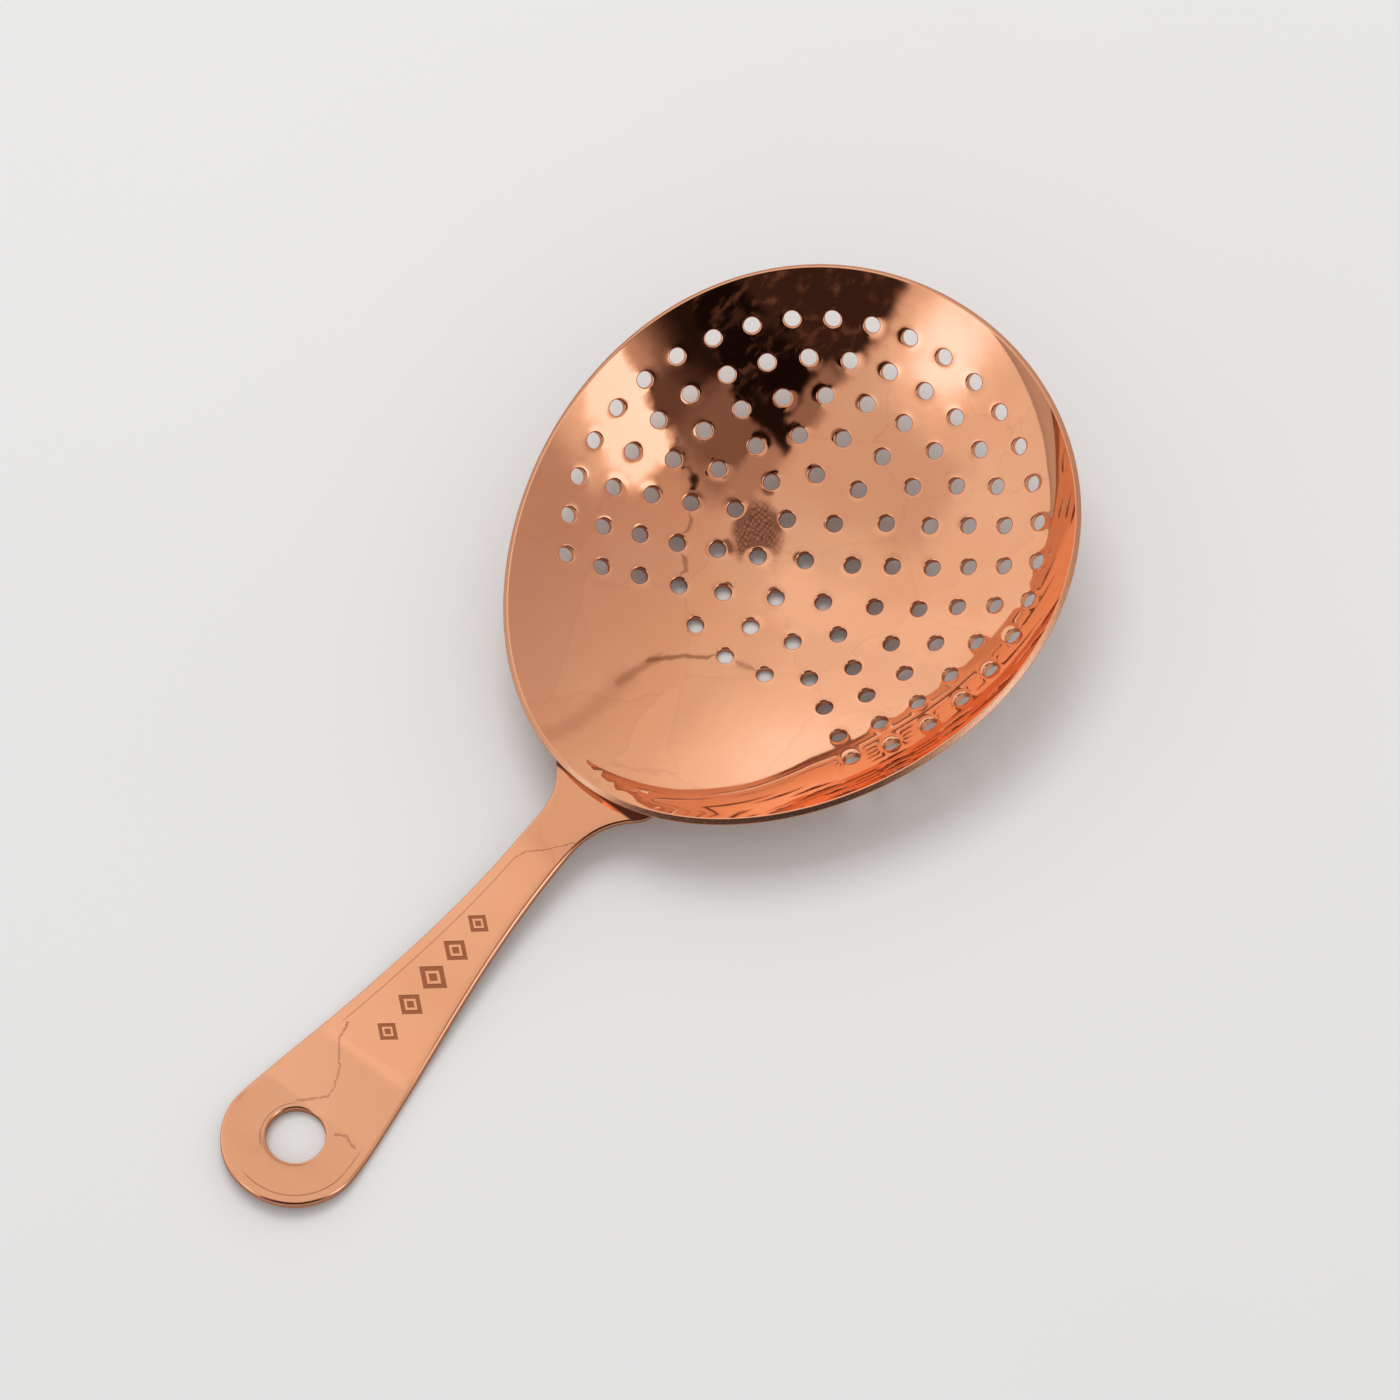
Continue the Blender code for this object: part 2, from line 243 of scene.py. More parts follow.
def scatter(boundary, collars, spacing):
    """Staggered rows of points, kept clear of the boundary and the collars."""
    margin = spacing * 0.45
    low, high = boundary.min(0), boundary.max(0)
    row = np.arange(low[0], high[0] + spacing, spacing)
    levels = np.arange(low[1], high[1] + spacing, spacing * math.sqrt(3) / 2)
    points = np.concatenate([
        np.stack([row + (k % 2) * spacing / 2, np.full(len(row), level)], 1)
        for k, level in enumerate(levels)])
    points = points[inside(boundary, points)]
    points = points[loop_distance(boundary, points) > margin]
    for collar in collars:
        centre = collar.mean(0)
        reach = np.hypot(*(collar - centre).T).max() + margin
        near = np.hypot(*(points - centre).T) < reach + 1.0
        blocked = np.zeros(len(points), bool)
        if near.any():
            some = points[near]
            blocked[near] = inside(collar, some) | (loop_distance(collar, some) < margin)
        points = points[~blocked]
    return points


def triangulate(boundary, collars, spacing):
    """Triangles between the boundary and the collars; returns points and triangles."""
    loops = [boundary] + collars
    points = np.concatenate(loops + [scatter(boundary, collars, spacing)])
    edges, start = [], 0
    for loop in loops:
        count = len(loop)
        edges += [(start + i, start + (i + 1) % count) for i in range(count)]
        start += count
    _, _, faces, origins, _, _ = delaunay_2d_cdt(
        [Vector(point) for point in points.tolist()], edges, [], 0, 1e-7, True)
    source = np.array([origin[0] for origin in origins])
    triangles = source[np.array([face for face in faces if len(face) == 3])]

    middle = points[triangles].mean(1)
    keep = inside(boundary, middle)
    for collar in collars:
        centre = collar.mean(0)
        reach = np.hypot(*(collar - centre).T).max()
        near = keep & (np.hypot(*(middle - centre).T) < reach)
        if near.any():
            index = np.nonzero(near)[0]
            keep[index[inside(collar, middle[index])]] = False
    triangles = triangles[keep]

    corner = points[triangles[:, 0]]
    side, other = points[triangles[:, 1]] - corner, points[triangles[:, 2]] - corner
    area = side[:, 0] * other[:, 1] - side[:, 1] * other[:, 0]
    triangles[area < 0] = triangles[area < 0][:, ::-1]
    return points, triangles[np.abs(area) > 1e-7]


class Sheet:
    """A closed piece of sheet metal about a middle surface, with exact normals.

    crown(x, y) raises the top face, tilt(x, y, normal) leans its normals, and plan(x, y)
    gives the vectors stored on it in along_edge.
    """

    def __init__(self, middle, thick, crown=None, tilt=None, plan=None):
        self.middle, self.thick = middle, thick
        self.crown = crown or (lambda x, y: 0 * x)
        self.tilt = tilt or (lambda x, y, normal: normal)
        self.plan = plan or (lambda x, y: None)
        self.points, self.normals, self.zones, self.flows, self.faces = [], [], [], [], []
        self.count = 0

    def add(self, points, normals, zone=0.0, flow=None):
        ids = np.arange(self.count, self.count + len(points))
        self.count += len(points)
        self.points.append(points)
        self.normals.append(unit(normals))
        self.zones.append(np.full(len(points), zone))
        self.flows.append(np.tile((0.0, 0.0, -1.0), (len(points), 1)) if flow is None else flow)
        return ids

    def band(self, first, second, outer=False):
        first_next, second_next = np.roll(first, -1), np.roll(second, -1)
        quads = ([first_next, first, second, second_next] if outer
                 else [first, first_next, second_next, second])
        self.faces += np.stack(quads, 1).tolist()

    def top_at(self, x, y):
        return raised(self.middle, x, y, self.thick / 2 + self.crown(x, y))

    def top_normal(self, x, y, step=0.06):
        along = self.top_at(x + step, y) - self.top_at(x - step, y)
        across = self.top_at(x, y + step) - self.top_at(x, y - step)
        return self.tilt(x, y, unit(np.cross(along, across)))

    def outer_edge(self, boundary, top_round, low_round, top_loop, low_loop):
        x, y = boundary[:, 0], boundary[:, 1]
        middle = np.stack([x, y, self.middle(x, y)], -1)
        normal = normal_of(self.middle, x, y)
        outward = unit(np.cross(unit(np.roll(middle, -1, 0) - np.roll(middle, 1, 0)), normal))
        steps = np.linalg.norm(np.diff(middle, axis=0), axis=1)
        arc = np.concatenate([[0], np.cumsum(steps)])
        top = self.thick / 2 + self.crown(x, y)
        low = -self.thick / 2
        leaned = self.tilt(x, y, normal)
        last = top_loop

        def ring(out, height, facing, zone):
            nonlocal last
            height = np.broadcast_to(height, arc.shape)
            flow = np.stack([arc, height, np.full(arc.shape, -1.0)], 1)
            points = middle + outward * out + normal * height[:, None]
            ids = self.add(points, facing, zone, flow)
            self.band(last, ids, outer=True)
            last = ids

        first = math.radians(4)
        for k in range(1, 6):
            bend = first + (math.pi / 2 - first) * k / 5
            ring(top_round * math.sin(bend), top - top_round * (1 - math.cos(bend)),
                 math.cos(bend) * leaned + math.sin(bend) * outward, max(0.0, k - 3) / 2)
        for k in range(1, 5):
            share = k / 5
            ring(top_round, (top - top_round) * (1 - share) + (low + low_round) * share,
                 outward, 1.0)
        for k in range(0, 6):
            bend = math.pi / 2 * (1 - k / 5)
            ring(top_round - low_round + low_round * math.sin(bend),
                 low + low_round - low_round * math.cos(bend),
                 math.sin(bend) * outward - math.cos(bend) * normal, 1.0 if k < 2 else 0.0)
        self.band(last, low_loop, outer=True)

    def hole(self, centre, rays, shape, top_loop, low_loop):
        top, low = self.thick / 2, -self.thick / 2
        last = top_loop

        def ring(radius, height, bend, on_top=False):
            nonlocal last
            x, y = (centre + radius * rays[:, :2]).T
            facing = normal_of(self.middle, x, y)
            outward = unit(rays - (rays * facing).sum(1)[:, None] * facing)
            flow = None
            if on_top:
                height = height + self.crown(x, y)
                facing = self.tilt(x, y, facing)
                flow = self.plan(x, y)
            ids = self.add(raised(self.middle, x, y, height),
                           math.cos(bend) * facing + math.sin(bend) * outward, 0.0, flow)
            self.band(last, ids)
            last = ids

        def sink(radius):
            share = 1 - (radius / shape.collar) ** 2
            lip = shape.lip_sink * math.exp(-((radius - shape.radius) / 0.34))
            return -shape.sink * share ** 3 - lip * share

        def slope(radius):
            return (sink(radius + 0.01) - sink(radius - 0.01)) / 0.02

        # the top face sinking towards the lip
        edge = shape.radius + shape.top_round
        for k in range(1, 7):
            radius = edge + (shape.collar - edge) * (1 - k / 6) ** 1.25
            ring(radius, top + sink(radius), -math.atan(slope(radius)), on_top=True)
        # the rounded lip
        start = math.atan(slope(edge))
        edge_height = top + sink(edge)
        for k in range(1, 6):
            bend = start + (math.pi / 2 - start) * k / 5
            ring(edge - shape.top_round * (math.sin(bend) - math.sin(start)),
                 edge_height - shape.top_round * (math.cos(start) - math.cos(bend)),
                 -bend, on_top=True)
        # the bore
        bore = edge - shape.top_round * (1 - math.sin(start))
        bore_top = edge_height - shape.top_round * math.cos(start)
        bore_low = low + sink(edge) + shape.low_round
        for k in range(1, 4):
            share = k / 4
            ring(bore, bore_top * (1 - share) + bore_low * share, -math.pi / 2)
        # the rounded lower end, and the underside out to the collar
        for k in range(0, 5):
            bend = math.pi / 2 + math.pi / 2 * k / 4
            ring(bore + shape.low_round * (1 - math.sin(bend)),
                 bore_low + shape.low_round * math.cos(bend), -bend)
        foot = bore + shape.low_round
        for k in range(1, 4):
            radius = foot + (shape.collar - bore - shape.low_round) * k / 4
            ring(radius, low + sink(radius), math.pi - math.atan(slope(radius)))
        self.band(last, low_loop)

    def build(self, name, material, boundary, centres, shape, spacing, top_round, low_round):
        fans, collars = [], []
        turn = turns(shape.segments)
        for centre in centres:
            _, first, second = surface_axes(self.middle, *centre)
            rays = np.cos(turn)[:, None] * first + np.sin(turn)[:, None] * second
            fans.append(rays)
            collars.append(np.array(centre) + shape.collar * rays[:, :2])
        points, triangles = triangulate(boundary, collars, spacing)
        x, y = points[:, 0], points[:, 1]
        top = self.add(self.top_at(x, y), self.top_normal(x, y), 0.0, self.plan(x, y))
        low = self.add(raised(self.middle, x, y, -self.thick / 2), -normal_of(self.middle, x, y))
        self.faces += top[triangles].tolist()
        self.faces += low[triangles[:, ::-1]].tolist()

        start = len(boundary)
        self.outer_edge(boundary, top_round, low_round, top[:start], low[:start])
        for centre, rays in zip(centres, fans):
            end = start + shape.segments
            self.hole(np.array(centre), rays, shape, top[start:end], low[start:end])
            start = end
        return self.finish(name, material)

    def finish(self, name, material):
        obj = add_object(name, np.concatenate(self.points), self.faces, material)
        mesh = obj.data
        mesh.normals_split_custom_set_from_vertices(tip(np.concatenate(self.normals)).tolist())
        zone = mesh.attributes.new("cut_face", "FLOAT", "POINT")
        zone.data.foreach_set("value", np.concatenate(self.zones).astype(np.float32))
        flow = mesh.attributes.new("along_edge", "FLOAT_VECTOR", "POINT")
        flow.data.foreach_set("vector", np.concatenate(self.flows).astype(np.float32).ravel())
        return obj


# ---------------------------------------------------------------- shader helpers
def operator(kind, swapped=False):
    def apply(self, other):
        return self.graph.math(kind, *((other, self) if swapped else (self, other)))
    return apply


class Value:
    """A shader output; arithmetic on it adds Math nodes."""

    def __init__(self, graph, socket):
        self.graph, self.socket = graph, socket

    __add__ = operator("ADD")
    __radd__ = operator("ADD", swapped=True)
    __sub__ = operator("SUBTRACT")
    __rsub__ = operator("SUBTRACT", swapped=True)
    __mul__ = operator("MULTIPLY")
    __rmul__ = operator("MULTIPLY", swapped=True)
    __truediv__ = operator("DIVIDE")
    __pow__ = operator("POWER")

    def __abs__(self):
        return self.graph.math("ABSOLUTE", self)

    def ramp(self, start, end, before=0.0, after=1.0):
        """A smooth step from before (at start) to after (at end); start may be the higher."""
        if start > end:
            start, end, before, after = end, start, after, before
        inputs = {"Value": self, "From Min": start, "From Max": end,
                  "To Min": before, "To Max": after}
        return self.graph.value("MapRange", "Result", inputs, interpolation_type="SMOOTHSTEP")

    def between(self, low, high, soft):
        """1 between low and high, with steps of +-soft at both."""
        return self.ramp(low - soft, low + soft) * self.ramp(high + soft, high - soft)


class Graph:
    def __init__(self, tree):
        self.tree = tree

    def put(self, socket, value):
        if isinstance(value, Value):
            self.tree.links.new(value.socket, socket)
        else:
            socket.default_value = value

    def node(self, kind, inputs=None, **settings):
        node = self.tree.nodes.new("ShaderNode" + kind)
        for name, setting in settings.items():
            setattr(node, name, setting)
        for key, value in (inputs or {}).items():
            self.put(node.inputs[key], value)
        return node

    def value(self, kind, output=0, inputs=None, **settings):
        return Value(self, self.node(kind, inputs, **settings).outputs[output])

    def math(self, kind, *values, clamp=False):
        return self.value("Math", 0, dict(enumerate(values)), operation=kind, use_clamp=clamp)

    def mix(self, share, first, second):
        return self.value("Mix", 0, {0: share, 2: first, 3: second}, data_type="FLOAT")

    def colour(self, share, first, second, blend="MIX"):
        first, second = (side if isinstance(side, Value) else (*side, 1.0)
                         for side in (first, second))
        inputs = {0: share, 6: first, 7: second}
        return self.value("Mix", 2, inputs, data_type="RGBA", blend_type=blend)

    def noise(self, vector, scale, detail=3.0, rough=0.5, output="Fac"):
        inputs = {"Vector": vector, "Scale": scale, "Detail": detail, "Roughness": rough}
        return self.value("TexNoise", output, inputs)

    def scaled(self, vector, factors):
        return self.value("VectorMath", 0, {0: vector, 1: factors}, operation="MULTIPLY")

    def split(self, vector):
        return [Value(self, out) for out in self.node("SeparateXYZ", {0: vector}).outputs]

    def join(self, x, y, z):
        return self.value("CombineXYZ", 0, {0: x, 1: y, 2: z})

    def bump(self, height, distance, normal=None):
        inputs = {"Height": height, "Distance": distance, "Strength": 1.0}
        if normal is not None:
            inputs["Normal"] = normal
        return self.value("Bump", 0, inputs)

    def segment_distance(self, x, y, start, end):
        start_x, start_y = start
        along_x, along_y = end[0] - start_x, end[1] - start_y
        share = self.math("MULTIPLY", (x - start_x) * along_x + (y - start_y) * along_y,
                          1 / (along_x * along_x + along_y * along_y), clamp=True)
        gap_x = (x - start_x) - share * along_x
        gap_y = (y - start_y) - share * along_y
        return self.math("SQRT", gap_x * gap_x + gap_y * gap_y)


def new_material(name):
    material = bpy.data.materials.new(name)
    material.use_nodes = True
    return material, Graph(material.node_tree), material.node_tree.nodes["Principled BSDF"]


def set_surface(graph, bsdf, **inputs):
    """Set shader inputs; underscores in the names stand for spaces."""
    for name, value in inputs.items():
        graph.put(bsdf.inputs[name.replace("_", " ")], value)


# ---------------------------------------------------------------- copper
COPPER = (0.935, 0.525, 0.350)
COPPER_WARM = (0.91, 0.46, 0.285)
COPPER_PALE = (0.95, 0.575, 0.410)
EDGE_DARK, EDGE_LIGHT = (0.76, 0.44, 0.31), (0.97, 0.64, 0.48)
ETCH_DARK, ETCH_LIGHT = (0.42, 0.17, 0.095), (0.58, 0.25, 0.145)
# painted shade for the tang's upper face under the rim
UNDER_RIM_SHADE = (0.10, 0.035, 0.02)
# painted reflections: colour of the dark lines that stand in for seams mirrored in the handle
SEAM_REFLECTION_COLOUR = (0.36, 0.16, 0.12)


def polished_copper(name, rough):
    """Copper with colour drift, hairlines, smears and pits, and a duller streaked cut edge."""
    material, graph, bsdf = new_material(name)
    coord = graph.value("TexCoord", "Object")
    cut = graph.value("Attribute", "Fac", attribute_name="cut_face")
    flow = graph.value("Attribute", "Vector", attribute_name="along_edge")

    drift = graph.noise(coord, scale=38.0, detail=3.0, rough=0.55)
    cloud = graph.noise(coord, scale=160.0, detail=4.0, rough=0.6)
    tone = graph.colour(drift.ramp(0.35, 0.68), COPPER, COPPER_PALE)
    tone = graph.colour(cloud.ramp(0.52, 0.75) * 0.16, tone, COPPER_WARM)

    # hairlines, mostly along X; scales are per metre on X, Y, Z
    hair = graph.noise(graph.scaled(coord, (260.0, 5200.0, 2400.0)), 1.0, detail=2.0, rough=0.6)
    cross = graph.noise(graph.scaled(coord, (4200.0, 300.0, 1500.0)), 1.0, detail=2.0, rough=0.6)
    smear = graph.noise(coord, scale=60.0, detail=4.0, rough=0.62).ramp(0.48, 0.74)
    fine = hair.ramp(0.60, 0.80) * 0.6 + cross.ramp(0.66, 0.84) * 0.4
    pit = graph.value("TexVoronoi", "Distance", {"Vector": coord, "Scale": 170.0})
    pit = pit.ramp(0.05, 0.02)
    pit = pit * graph.noise(coord, scale=230.0, detail=1.0).ramp(0.58, 0.62)
    roughness = rough + (smear * 0.035 + (fine * 0.03 + pit * 0.15))

    # streaks along the cut edge: stretched along it, tight across the thickness
    run = graph.split(flow)
    streak_place = graph.join(run[0] * 0.55, run[1] * 22.0, 0.0)
    streak = graph.noise(streak_place, scale=1.0, detail=3.0, rough=0.65)
    tone = graph.colour(cut * 0.75, tone,
                        graph.colour(streak.ramp(0.35, 0.7), EDGE_DARK, EDGE_LIGHT))
    roughness = graph.mix(cut, roughness, 0.17 + streak * 0.16)

    # broad waviness, then hairlines and pits, then the edge's streaks
    height = (graph.noise(coord, scale=45.0, detail=2.0, rough=0.45) * 1.0
              + graph.noise(coord, scale=130.0, detail=2.0, rough=0.5) * 0.12)
    normal = graph.bump(height, distance=0.06 * MM)
    normal = graph.bump(fine * 0.25 - pit, distance=0.0022 * MM, normal=normal)
    normal = graph.bump(streak * cut, distance=0.014 * MM, normal=normal)
    return SimpleNamespace(material=material, graph=graph, bsdf=bsdf, coord=coord, run=run,
                           tone=tone, roughness=roughness, normal=normal)


def finish_copper(look):
    set_surface(look.graph, look.bsdf, Base_Color=look.tone, Roughness=look.roughness,
                Metallic=1.0, Specular_Tint=(1.0, 0.86, 0.78, 1.0), Normal=look.normal)
    return look.material


def press_dents(look, places, size):
    for place in places:
        distance = look.graph.value("VectorMath", "Value", {0: look.coord, 1: place},
                                    operation="DISTANCE")
        look.normal = look.graph.bump(distance.ramp(size * 0.2, size), distance=0.05 * MM,
                                      normal=look.normal)


# Etched row of lozenges, in metres
ETCH_X = float(to_world((-80.3, 0.0, -4.0))[0])
ETCH_PITCH, ETCH_HALF_X, ETCH_HALF_Y = 5.0 * MM, 2.1 * MM, 2.6 * MM
ETCH_SHRINK = 0.13              # each lozenge from the middle one is smaller by this share
TOP_GUARD = 1.6 * MM            # the upper face lies above this height
UNDER_RIM_X = float(to_world((-45.15, 0.0, -3.9))[0])


def etch_lozenges(look, x, y, z):
    """Five hollow lozenges in a row.  Returns how far a face looks up, and the top-face mask."""
    graph = look.graph
    along = x - ETCH_X
    cell = graph.math("ROUND", along / ETCH_PITCH)
    within = abs(cell).ramp(2.6, 2.4)
    local = along - cell * ETCH_PITCH
    size = 1.0 - abs(cell) * ETCH_SHRINK
    reach = (abs(local) / ETCH_HALF_X + abs(y) / ETCH_HALF_Y) / size
    upward = graph.split(graph.value("NewGeometry", "Normal"))[2]
    face = z.ramp(TOP_GUARD - 0.3 * MM, TOP_GUARD) * upward.ramp(0.3, 0.7)
    # solid out to reach 1, less a hollow band, which leaves a small core
    ring = reach.ramp(1.03, 0.97) * (1.0 - reach.ramp(0.62, 0.56) * reach.ramp(0.30, 0.36))
    mark = (ring * within) * face
    grain = graph.noise(graph.scaled(look.coord, (9000.0, 1400.0, 1400.0)), scale=1.0,
                        detail=2.0, rough=0.6)
    look.tone = graph.colour(mark, look.tone, graph.colour(grain, ETCH_DARK, ETCH_LIGHT))
    look.roughness = graph.mix(mark, look.roughness, 0.42)
    look.normal = graph.bump(1.0 - mark, distance=0.04 * MM, normal=look.normal)
    return upward, face


def paint_shade_under_rim(look, x, upward):
    """Painted shade: the tang's upward face is darkened to near black, and made rougher, once it
    is under the rim.
    """
    soft = 0.2 * MM
    # painted shade where the rim overhangs the tang's upward face
    under_rim_shade = x.ramp(UNDER_RIM_X - soft, UNDER_RIM_X + soft) * upward.ramp(0.15, 0.6)
    look.tone = look.graph.colour(under_rim_shade * 0.9, look.tone, UNDER_RIM_SHADE)
    look.roughness = look.graph.mix(under_rim_shade, look.roughness, 0.5)


# Painted reflections of seams, as faint dark lines on the handle's top face: half width, then
# places in plan
PAINTED_SEAM_REFLECTIONS = (
    (0.16, ((-52.3, -3.5), (-55.2, -1.3), (-57.4, 1.1), (-59.2, 2.0))),
    (0.24, ((-92.8, 5.4), (-95.4, 4.7), (-98.7, 1.8), (-101.2, 0.5), (-102.8, 0.3),
            (-104.1, 1.5), (-106.0, 3.4))),
    (0.34, ((-106.4, -4.2), (-105.7, -5.4), (-106.3, -7.6))),
)
# Painted reflections that follow an edge or the eye: the distance they follow ("edge" inwards from
# the outline, "eye" out from its centre), that distance, the fade across the line (none, full),
# the fade in Y (none, full), and the stretch of X with its softness
FOLLOWING_SEAM_REFLECTIONS = (
    ("edge", 1.62, (0.16, 0.03), (0.2, 0.6), (-93.0, -59.0, 0.8)),
    ("edge", 1.30, (0.15, 0.03), (2.4, 0.5), (-121.0, -106.4, 0.5)),
    ("edge", 0.30, (0.14, 0.03), (-0.6, -0.9), (-88.0, -47.0, 3.0)),
    ("eye", 4.85, (0.15, 0.04), (2.2, 3.4), (-114.0, -106.2, 0.5)),
)


# Painted reflections: dark lines in the handle's top-face colour stand in for mirrored seams, and
# they stay put as the view moves.
def paint_seam_reflections(look, face):
    graph = look.graph
    jitter = graph.split(graph.noise(look.coord, scale=1500.0, detail=3.0, rough=0.6,
                                     output="Color"))
    x, y, inward = look.run
    rough_x = x + (jitter[0] - 0.5) * 0.9
    rough_y = y + (jitter[1] - 0.5) * 0.9
    lines = 0.0
    for width, chain in PAINTED_SEAM_REFLECTIONS:
        for start, end in zip(chain[:-1], chain[1:]):
            distance = graph.segment_distance(rough_x, rough_y, start, end)
            lines = graph.math("MAXIMUM", lines, distance.ramp(width, width * 0.25))

    from_eye = x - EYE_X
    distances = {"edge": inward, "eye": graph.math("SQRT", from_eye * from_eye + y * y)}
    far, tip_end, near, eye = (
        (abs(distances[kind] - offset).ramp(*fade) * y.ramp(*fade_y)) * x.between(*stretch)
        for kind, offset, fade, fade_y, stretch in FOLLOWING_SEAM_REFLECTIONS)
    following = graph.math("MAXIMUM", graph.math("MAXIMUM", far, tip_end),
                           graph.math("MAXIMUM", near, eye))
    lines = graph.math("MAXIMUM", lines, 0.8 * following)
    lines = (lines * face) * inward.ramp(0.0, 0.1)
    # painted reflections: the lines darken the base colour
    look.tone = graph.colour(lines * 0.62, look.tone, SEAM_REFLECTION_COLOUR)
    look.normal = graph.bump(1.0 - lines, distance=0.004 * MM, normal=look.normal)


def handle_copper():
    look = polished_copper("handle_copper", rough=0.045)
    x, y, z = look.graph.split(look.coord)
    upward, face = etch_lozenges(look, x, y, z)
    paint_shade_under_rim(look, x, upward)
    paint_seam_reflections(look, face)
    return finish_copper(look)


DENTS = ((-42.3, 1.7), (-41.5, -7.3))       # plan places on the bowl's inner face


def bowl_copper():
    look = polished_copper("bowl_copper", rough=0.035)
    places = [tuple(to_world(raised(bowl_mid, np.array(x), np.array(y), SHEET / 2)).tolist())
              for x, y in DENTS]
    press_dents(look, places, size=0.9 * MM)
    return finish_copper(look)


# ---------------------------------------------------------------- bowl
def hole_centres():
    centres = [(RING_CENTRE, 0.0)]
    for k, (radius, left_out) in enumerate(RINGS, start=1):
        count = 6 * k
        keep = (count - left_out) // 2 if left_out else count
        shift_x, shift_y = ODD_RING_SHIFT if k % 2 else (0.0, 0.0)
        for i in range(count):
            j = i if i <= count / 2 else i - count
            if abs(j) > keep:
                continue
            angle = 2 * math.pi * j / count
            centres.append((RING_CENTRE + shift_x + radius * math.cos(angle),
                            shift_y + radius * math.sin(angle)))
    return centres


def bowl_piece():
    boundary = np.stack(rim_outline(np.linspace(0, 2 * math.pi, 361)[:-1], BOWL_INSET), 1)
    return Sheet(bowl_mid, SHEET, tilt=lean).build(
        "bowl_shell", bowl_copper(), boundary, hole_centres(), PUNCHED,
        spacing=1.5, top_round=0.24, low_round=0.20)


# ---------------------------------------------------------------- handle
def strap_height(x):
    """Height of the strap's middle over the floor, along the floor."""
    neck = NECK_SLOPE * (np.hypot(x - PAD_NEAR, NECK_EASE) - NECK_EASE)
    end = TIP_SLOPE * (np.hypot(PAD_FAR - x, TIP_EASE) - TIP_EASE)
    return STRAP / 2 + np.where(x > PAD_NEAR, neck, 0.0) + np.where(x < PAD_FAR, end, 0.0)


_floor_x = np.linspace(-128, -52.999, 3001)
_floor_z = strap_height(_floor_x) - LIFT
STRAP_X = COS_TILT * _floor_x + SIN_TILT * _floor_z
STRAP_Z = -SIN_TILT * _floor_x + COS_TILT * _floor_z
NECK_END = STRAP_X[-1]
NECK_FALL = (STRAP_Z[-1] - STRAP_Z[-40]) / (STRAP_X[-1] - STRAP_X[-40])


def rise(x):
    """The shank kicks up a little just before it goes under the rim."""
    return RISE_SLOPE * (np.hypot(x - RISE_FROM, RISE_EASE) + (x - RISE_FROM)) / 2


def handle_mid(x, y):
    """The strap's own line, held below the bowl's underside."""
    strap = np.where(x < NECK_END, np.interp(x, STRAP_X, STRAP_Z),
                     STRAP_Z[-1] + NECK_FALL * (x - NECK_END)) + rise(x)
    near = np.maximum(x, UNDER_FROM)
    upright = normal_of(bowl_mid, near, y)[..., 2]
    under = (bowl_mid(near, y) - (SHEET / 2 + TANG_GAP + STRAP / 2) / upright
             + (near - x) * UNDER_SLOPE)
    return soft_min(strap, under, 0.9)


def half_width(x):
    share = np.maximum(0.0, (NECK_X - x) / STRAP_LENGTH)
    strap = NECK_HALF + STRAP_WIDENING * (share ** 2 + (1 - share) * share ** 2.5)
    past_end = (np.maximum(0.0, END_X - x) / END_LENGTH) ** END_POWER
    end = END_HALF * np.maximum(1e-9, 1 - past_end) ** (1 / END_POWER)
    pad = soft_min(strap, end, 0.5)
    widening = (np.maximum(0.0, x - NECK_X) / FLARE_LENGTH) ** FLARE_POWER
    flare = NECK_HALF + FLARE_WIDENING * widening
    past_tang = (np.maximum(0.0, x - TANG_X) / TANG_LENGTH) ** 2
    tang = TANG_HALF * np.sqrt(np.maximum(1e-12, 1 - past_tang))
    return np.maximum(0.0, np.where(x < NECK_X, pad, soft_min(flare, tang, 1.0)))


def skew(x):
    """The tang was welded on a little to one side."""
    return -0.09 * np.clip(x + 53.3, 0.0, 9.0) - 0.30 * rise(x)


def handle_outline(inset):
    x = np.array(
        [END_X - END_LENGTH + END_LENGTH * (1 - math.cos(math.pi / 2 * k / 26))
         for k in range(27)]
        + np.linspace(END_X, RISE_FROM, 70)[1:].tolist()
        + np.linspace(RISE_FROM, TANG_X, 36)[1:].tolist()
        + [TANG_X + TANG_LENGTH * math.sin(math.pi / 2 * k / 24) for k in range(1, 25)])
    half = half_width(x)
    half[0], half[-1] = 0.0, 0.0
    moved = x - 0.377 * rise(np.minimum(x, -44.0))
    right = np.stack([moved, -half + skew(x)], 1)
    left = np.stack([moved, half + skew(x)], 1)[::-1]
    loop = np.concatenate([right, left[1:-1]])
    # even out the points, smooth them, then step inwards
    closed = np.concatenate([loop, loop[:1]])
    arc = np.concatenate([[0], np.cumsum(np.hypot(*np.diff(closed, axis=0).T))])
    even = np.linspace(0, arc[-1], 421)[:-1]
    loop = np.stack([np.interp(even, arc, closed[:, 0]), np.interp(even, arc, closed[:, 1])], 1)
    for _ in range(3):
        loop = 0.25 * np.roll(loop, 1, 0) + 0.5 * loop + 0.25 * np.roll(loop, -1, 0)
    along = unit(np.roll(loop, -1, 0) - np.roll(loop, 1, 0))
    return loop + inset * np.stack([-along[:, 1], along[:, 0]], 1)


OUTLINE = handle_outline(0.0)


def handle_crown(x, y):
    """The face rolls away at the outline and falls slightly from its middle line."""
    places = np.stack([np.ravel(x), np.ravel(y)], 1)
    distance = loop_distance(OUTLINE, places).reshape(np.shape(x))
    roll = np.clip(1 - distance / 1.5, 0, 1)
    across = np.clip(np.abs(y - skew(x)) / np.maximum(half_width(x), 2.0), 0, 1)
    return -0.035 * roll ** 2 - 0.03 * across ** 2


def handle_plan(x, y):
    """Place in plan and distance in from the outline, for the painted seam reflections."""
    return np.stack([x, y, loop_distance(OUTLINE, np.stack([x, y], 1))], 1)


